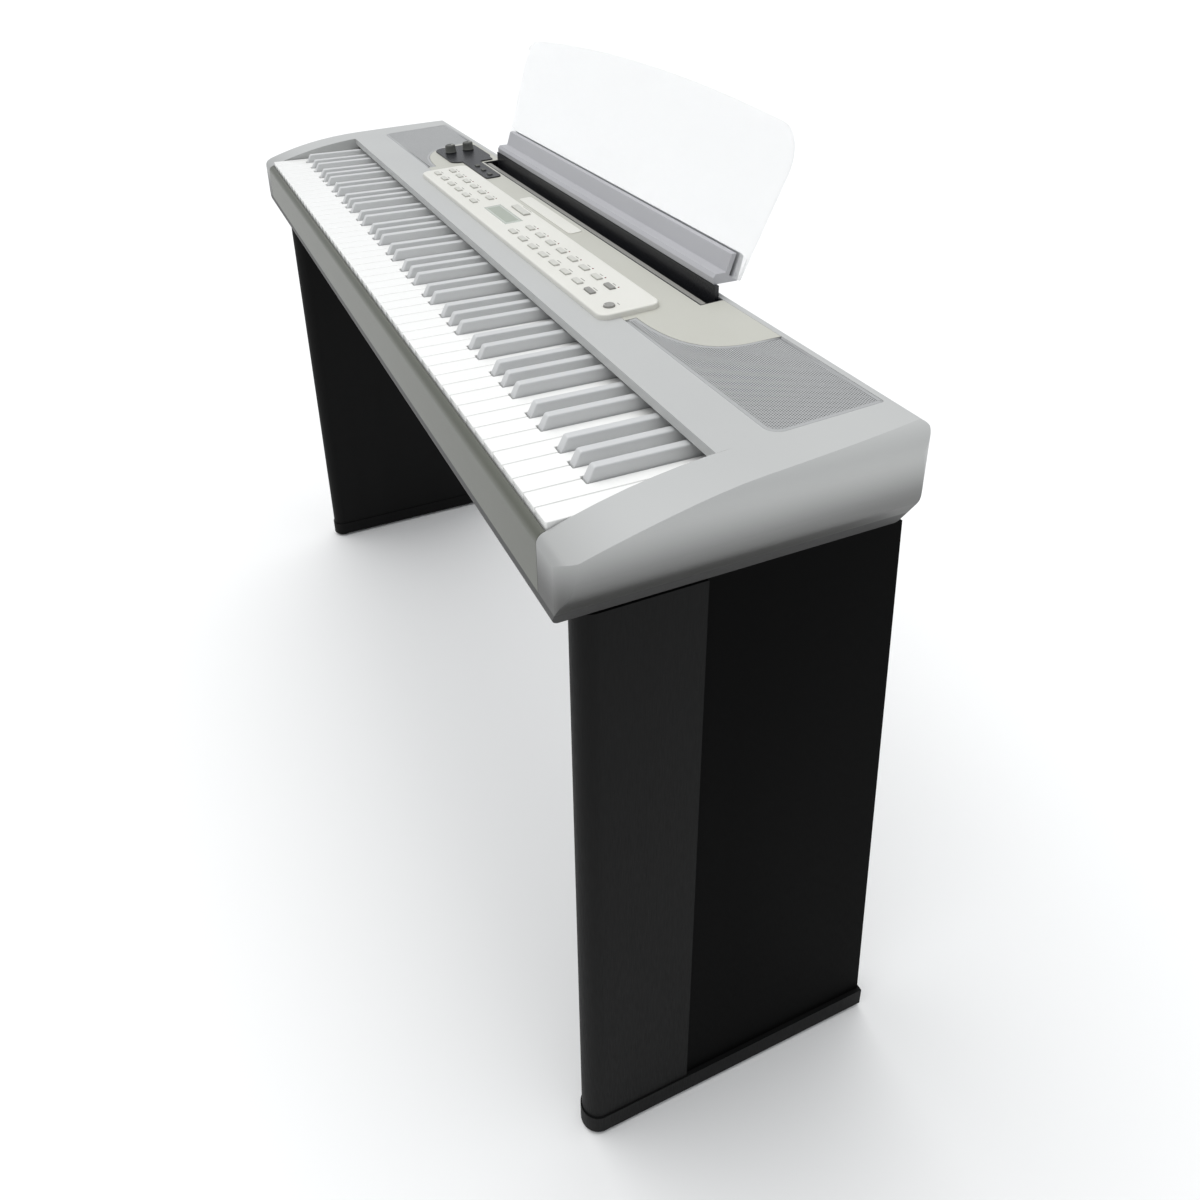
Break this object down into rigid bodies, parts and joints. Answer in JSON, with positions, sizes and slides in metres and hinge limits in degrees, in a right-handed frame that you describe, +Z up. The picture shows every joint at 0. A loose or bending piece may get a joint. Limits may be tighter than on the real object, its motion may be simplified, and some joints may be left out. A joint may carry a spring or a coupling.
{
  "type": "digital piano on stand",
  "caption": "Full-size digital piano with raised cheeks, sloping control deck, lift-off clear music rest and a two-legged board stand.",
  "frame": {"origin": "on the floor, under the middle of the whole object's box", "axes": "+X along the keyboard to the treble end, +Y to the back, away from the player, +Z up"},
  "size_m": [1.328, 0.3854, 0.9767],
  "materials": {
    "case_grey": "fine-textured painted ABS",
    "case_dark": "textured ABS",
    "slip_grey": "satin painted ABS",
    "deck_beige": "satin metallic paint",
    "grille_grey": "perforated sheet, satin paint",
    "panel_ivory": "satin",
    "cap_grey": "satin",
    "power_cap": "gloss",
    "display_lens": "clear",
    "trim_black": "gloss",
    "knob_dark": "soft-touch",
    "rest_grey": "satin",
    "clear_acrylic": "polished clear sheet",
    "speaker_black": "paper and moulded basket",
    "steel": "zinc plated",
    "jack_black": "moulded",
    "felt": "pressed felt",
    "circuit_green": "soldered board",
    "board_black": "laminated particle board, fine texture",
    "inset_black": "laminated board, darker",
    "rubber": "matt",
    "key_white": "polished",
    "key_grey": "satin"
  },
  "bodies": {
    "cabinet": {"case_screws": "steel", "circuit_boards": "circuit_green", "control_panel": "panel_ivory", "deck_panel": "deck_beige", "glides": "rubber", "grille_left": "grille_grey", "grille_right": "grille_grey", "jacks": "jack_black", "key_chassis": "steel", "key_felts": "felt", "key_slip": "slip_grey", "lcd_lens": "display_lens", "leg_insets": "inset_black", "leg_panel_left": "board_black", "leg_panel_right": "board_black", "leg_plinths": "board_black", "leg_stiles": "board_black", "lower_case": "case_dark", "mixer_plate": "trim_black", "rear_stretcher": "board_black", "rest_well": "trim_black", "speaker_drivers": "speaker_black", "stand_bolts": "steel", "stand_brackets": "steel", "upper_case": "case_grey"},
    "white_keys_1": {"white_keys_1": "key_white"},
    "black_keys_1": {"black_keys_1": "key_grey"},
    "white_keys_2": {"white_keys_2": "key_white"},
    "black_keys_2": {"black_keys_2": "key_grey"},
    "white_keys_3": {"white_keys_3": "key_white"},
    "black_keys_3": {"black_keys_3": "key_grey"},
    "white_keys_5": {"white_keys_5": "key_white"},
    "black_keys_5": {"black_keys_5": "key_grey"},
    "white_keys_6": {"white_keys_6": "key_white"},
    "black_keys_6": {"black_keys_6": "key_grey"},
    "white_keys_7": {"white_keys_7": "key_white"},
    "black_keys_7": {"black_keys_7": "key_grey"},
    "key_c_4": {"key_c_4": "key_white"},
    "key_d_4": {"key_d_4": "key_white"},
    "key_e_4": {"key_e_4": "key_white"},
    "key_f_4": {"key_f_4": "key_white"},
    "key_g_4": {"key_g_4": "key_white"},
    "key_a_4": {"key_a_4": "key_white"},
    "key_b_4": {"key_b_4": "key_white"},
    "key_c_sharp_4": {"key_c_sharp_4": "key_grey"},
    "key_d_sharp_4": {"key_d_sharp_4": "key_grey"},
    "key_f_sharp_4": {"key_f_sharp_4": "key_grey"},
    "key_g_sharp_4": {"key_g_sharp_4": "key_grey"},
    "key_a_sharp_4": {"key_a_sharp_4": "key_grey"},
    "button_bank_left": {"button_bank_left": "cap_grey"},
    "button_bank_right": {"button_bank_right": "cap_grey"},
    "power_button": {"power_button": "power_cap"},
    "mixer_buttons": {"mixer_buttons": "knob_dark"},
    "menu_rocker": {"menu_rocker": "cap_grey"},
    "volume_knob": {"volume_knob": "knob_dark"},
    "balance_knob": {"balance_knob": "knob_dark"},
    "music_rest": {"rest_foot": "trim_black", "rest_bar": "rest_grey", "rest_sheet": "clear_acrylic"}
  },
  "joints": [
    {"name": "music_rest_lift", "type": "slide", "parent": "cabinet", "child": "music_rest", "axis": [0, 0, 1], "range_m": [0, 0.03]},
    {"name": "volume_knob_turn", "type": "hinge", "parent": "cabinet", "child": "volume_knob", "pos_m": [-0.405, 0.06593, 0.78743], "axis": [0, -0.0523, 0.9986], "range_deg": [-150, 150]},
    {"name": "balance_knob_turn", "type": "hinge", "parent": "cabinet", "child": "balance_knob", "pos_m": [-0.405, 0.09489, 0.78895], "axis": [0, -0.0523, 0.9986], "range_deg": [-150, 150]},
    {"name": "menu_rocker_tip", "type": "hinge", "parent": "cabinet", "child": "menu_rocker", "pos_m": [-0.038, 0.04568, 0.79167], "axis": [0, 0.9986, 0.0523], "range_deg": [-3, 3], "stiffness_Nm_per_rad": 0.06},
    {"name": "power_button_press", "type": "slide", "parent": "cabinet", "child": "power_button", "axis": [0, 0.0523, -0.9986], "range_m": [0, 0.001], "stiffness_N_per_m": 400, "springref_m": -0.001},
    {"name": "mixer_buttons_press", "type": "slide", "parent": "cabinet", "child": "mixer_buttons", "axis": [0, 0.0523, -0.9986], "range_m": [0, 0.001], "stiffness_N_per_m": 600, "springref_m": -0.001},
    {"name": "button_bank_left_press", "type": "slide", "parent": "cabinet", "child": "button_bank_left", "axis": [0, 0.0523, -0.9986], "range_m": [0, 0.001], "stiffness_N_per_m": 600, "springref_m": -0.001},
    {"name": "button_bank_right_press", "type": "slide", "parent": "cabinet", "child": "button_bank_right", "axis": [0, 0.0523, -0.9986], "range_m": [0, 0.001], "stiffness_N_per_m": 800, "springref_m": -0.001},
    {"name": "white_keys_1_press", "type": "hinge", "parent": "cabinet", "child": "white_keys_1", "pos_m": [0, 0.03827, 0.737], "axis": [1, 0, 0], "range_deg": [0, 2.6], "stiffness_Nm_per_rad": 22.5, "springref_deg": -5.73},
    {"name": "black_keys_1_press", "type": "hinge", "parent": "cabinet", "child": "black_keys_1", "pos_m": [0, 0.03827, 0.737], "axis": [1, 0, 0], "range_deg": [0, 2.6], "stiffness_Nm_per_rad": 9.6, "springref_deg": -5.73},
    {"name": "white_keys_2_press", "type": "hinge", "parent": "cabinet", "child": "white_keys_2", "pos_m": [0, 0.03827, 0.737], "axis": [1, 0, 0], "range_deg": [0, 2.6], "stiffness_Nm_per_rad": 17.5, "springref_deg": -5.73},
    {"name": "black_keys_2_press", "type": "hinge", "parent": "cabinet", "child": "black_keys_2", "pos_m": [0, 0.03827, 0.737], "axis": [1, 0, 0], "range_deg": [0, 2.6], "stiffness_Nm_per_rad": 8, "springref_deg": -5.73},
    {"name": "white_keys_3_press", "type": "hinge", "parent": "cabinet", "child": "white_keys_3", "pos_m": [0, 0.03827, 0.737], "axis": [1, 0, 0], "range_deg": [0, 2.6], "stiffness_Nm_per_rad": 17.5, "springref_deg": -5.73},
    {"name": "black_keys_3_press", "type": "hinge", "parent": "cabinet", "child": "black_keys_3", "pos_m": [0, 0.03827, 0.737], "axis": [1, 0, 0], "range_deg": [0, 2.6], "stiffness_Nm_per_rad": 8, "springref_deg": -5.73},
    {"name": "white_keys_5_press", "type": "hinge", "parent": "cabinet", "child": "white_keys_5", "pos_m": [0, 0.03827, 0.737], "axis": [1, 0, 0], "range_deg": [0, 2.6], "stiffness_Nm_per_rad": 17.5, "springref_deg": -5.73},
    {"name": "black_keys_5_press", "type": "hinge", "parent": "cabinet", "child": "black_keys_5", "pos_m": [0, 0.03827, 0.737], "axis": [1, 0, 0], "range_deg": [0, 2.6], "stiffness_Nm_per_rad": 8, "springref_deg": -5.73},
    {"name": "white_keys_6_press", "type": "hinge", "parent": "cabinet", "child": "white_keys_6", "pos_m": [0, 0.03827, 0.737], "axis": [1, 0, 0], "range_deg": [0, 2.6], "stiffness_Nm_per_rad": 17.5, "springref_deg": -5.73},
    {"name": "black_keys_6_press", "type": "hinge", "parent": "cabinet", "child": "black_keys_6", "pos_m": [0, 0.03827, 0.737], "axis": [1, 0, 0], "range_deg": [0, 2.6], "stiffness_Nm_per_rad": 8, "springref_deg": -5.73},
    {"name": "white_keys_7_press", "type": "hinge", "parent": "cabinet", "child": "white_keys_7", "pos_m": [0, 0.03827, 0.737], "axis": [1, 0, 0], "range_deg": [0, 2.6], "stiffness_Nm_per_rad": 20, "springref_deg": -5.73},
    {"name": "black_keys_7_press", "type": "hinge", "parent": "cabinet", "child": "black_keys_7", "pos_m": [0, 0.03827, 0.737], "axis": [1, 0, 0], "range_deg": [0, 2.6], "stiffness_Nm_per_rad": 8, "springref_deg": -5.73},
    {"name": "key_c_4_press", "type": "hinge", "parent": "cabinet", "child": "key_c_4", "pos_m": [0, 0.03827, 0.737], "axis": [1, 0, 0], "range_deg": [0, 2.6], "stiffness_Nm_per_rad": 2.5, "springref_deg": -5.73},
    {"name": "key_d_4_press", "type": "hinge", "parent": "cabinet", "child": "key_d_4", "pos_m": [0, 0.03827, 0.737], "axis": [1, 0, 0], "range_deg": [0, 2.6], "stiffness_Nm_per_rad": 2.5, "springref_deg": -5.73},
    {"name": "key_e_4_press", "type": "hinge", "parent": "cabinet", "child": "key_e_4", "pos_m": [0, 0.03827, 0.737], "axis": [1, 0, 0], "range_deg": [0, 2.6], "stiffness_Nm_per_rad": 2.5, "springref_deg": -5.73},
    {"name": "key_f_4_press", "type": "hinge", "parent": "cabinet", "child": "key_f_4", "pos_m": [0, 0.03827, 0.737], "axis": [1, 0, 0], "range_deg": [0, 2.6], "stiffness_Nm_per_rad": 2.5, "springref_deg": -5.73},
    {"name": "key_g_4_press", "type": "hinge", "parent": "cabinet", "child": "key_g_4", "pos_m": [0, 0.03827, 0.737], "axis": [1, 0, 0], "range_deg": [0, 2.6], "stiffness_Nm_per_rad": 2.5, "springref_deg": -5.73},
    {"name": "key_a_4_press", "type": "hinge", "parent": "cabinet", "child": "key_a_4", "pos_m": [0, 0.03827, 0.737], "axis": [1, 0, 0], "range_deg": [0, 2.6], "stiffness_Nm_per_rad": 2.5, "springref_deg": -5.73},
    {"name": "key_b_4_press", "type": "hinge", "parent": "cabinet", "child": "key_b_4", "pos_m": [0, 0.03827, 0.737], "axis": [1, 0, 0], "range_deg": [0, 2.6], "stiffness_Nm_per_rad": 2.5, "springref_deg": -5.73},
    {"name": "key_c_sharp_4_press", "type": "hinge", "parent": "cabinet", "child": "key_c_sharp_4", "pos_m": [0, 0.03827, 0.737], "axis": [1, 0, 0], "range_deg": [0, 2.6], "stiffness_Nm_per_rad": 1.6, "springref_deg": -5.73},
    {"name": "key_d_sharp_4_press", "type": "hinge", "parent": "cabinet", "child": "key_d_sharp_4", "pos_m": [0, 0.03827, 0.737], "axis": [1, 0, 0], "range_deg": [0, 2.6], "stiffness_Nm_per_rad": 1.6, "springref_deg": -5.73},
    {"name": "key_f_sharp_4_press", "type": "hinge", "parent": "cabinet", "child": "key_f_sharp_4", "pos_m": [0, 0.03827, 0.737], "axis": [1, 0, 0], "range_deg": [0, 2.6], "stiffness_Nm_per_rad": 1.6, "springref_deg": -5.73},
    {"name": "key_g_sharp_4_press", "type": "hinge", "parent": "cabinet", "child": "key_g_sharp_4", "pos_m": [0, 0.03827, 0.737], "axis": [1, 0, 0], "range_deg": [0, 2.6], "stiffness_Nm_per_rad": 1.6, "springref_deg": -5.73},
    {"name": "key_a_sharp_4_press", "type": "hinge", "parent": "cabinet", "child": "key_a_sharp_4", "pos_m": [0, 0.03827, 0.737], "axis": [1, 0, 0], "range_deg": [0, 2.6], "stiffness_Nm_per_rad": 1.6, "springref_deg": -5.73}
  ]
}
